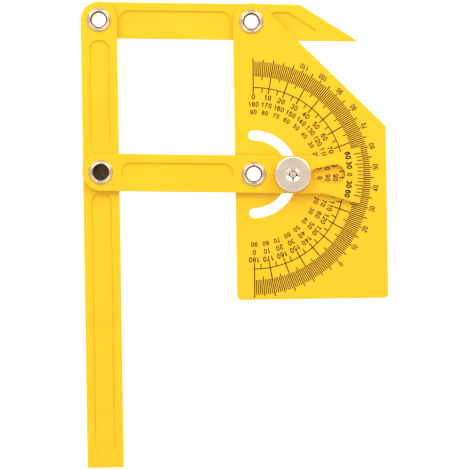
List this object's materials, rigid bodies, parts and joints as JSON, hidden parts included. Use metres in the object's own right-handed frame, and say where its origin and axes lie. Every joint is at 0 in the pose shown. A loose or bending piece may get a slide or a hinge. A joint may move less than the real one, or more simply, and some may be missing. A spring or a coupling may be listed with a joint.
{
  "type": "goniometer",
  "caption": "Flat parallelogram linkage for measuring and copying angles: a half-round dial plate, an index arm with a vernier and window, a long straight arm and a knurled lock nut.",
  "frame": {"origin": "on the axis of the dial pivot, at the back face of the protractor plate", "axes": "+Z out of the dial towards the reader, +Y up the plate to the upper pivot, +X right across the dial"},
  "size_m": [0.1673, 0.2565, 0.0186],
  "materials": {
    "moulded_plastic": "satin, injection moulded",
    "nickel_plate": "nickel-plated, pressed",
    "turned_steel": "turned and knurled"
  },
  "bodies": {
    "plate": {"protractor_plate": "moulded_plastic", "dial_eyelet": "nickel_plate", "dial_washer": "nickel_plate", "upper_eyelet": "nickel_plate", "upper_washer": "nickel_plate"},
    "index": {"index_arm": "moulded_plastic", "elbow_eyelet": "nickel_plate", "elbow_cap": "nickel_plate", "lock_screw": "turned_steel"},
    "straightedge": {"long_arm": "moulded_plastic", "outer_eyelet": "nickel_plate", "outer_washer": "nickel_plate"},
    "link": {"top_link": "moulded_plastic"},
    "washer": {"lock_washer": "turned_steel"},
    "nut": {"thumb_nut": "turned_steel"}
  },
  "joints": [
    {"name": "index_swing", "type": "hinge", "parent": "plate", "child": "index", "pos_m": [0, 0, 0.005], "axis": [0, 0, 1], "range_deg": [-73.4, 76.6]},
    {"name": "link_swing", "type": "hinge", "parent": "plate", "child": "link", "pos_m": [0, 0.084, -0.0019], "axis": [0, 0, 1], "range_deg": [-73.4, 76.6]},
    {"name": "straightedge_swing", "type": "hinge", "parent": "index", "child": "straightedge", "pos_m": [-0.08397, 0.00235, 0.0016], "axis": [0, 0, 1], "range_deg": [-76.6, 73.4]},
    {"name": "nut_turn", "type": "hinge", "parent": "washer", "child": "nut", "pos_m": [0.02139, -0.0006, 0.0107], "axis": [0, 0, 1], "range_deg": [0, 360]},
    {"name": "washer_lift", "type": "slide", "parent": "index", "child": "washer", "axis": [0, 0, 1], "range_m": [0, 0.0007]}
  ],
  "couplings": [
    {"joint": "link_swing", "follows": "index_swing", "ratio": 1},
    {"joint": "straightedge_swing", "follows": "index_swing", "ratio": -1},
    {"joint": "washer_lift", "follows": "nut_turn", "m_per_rad": 0.00011141}
  ]
}
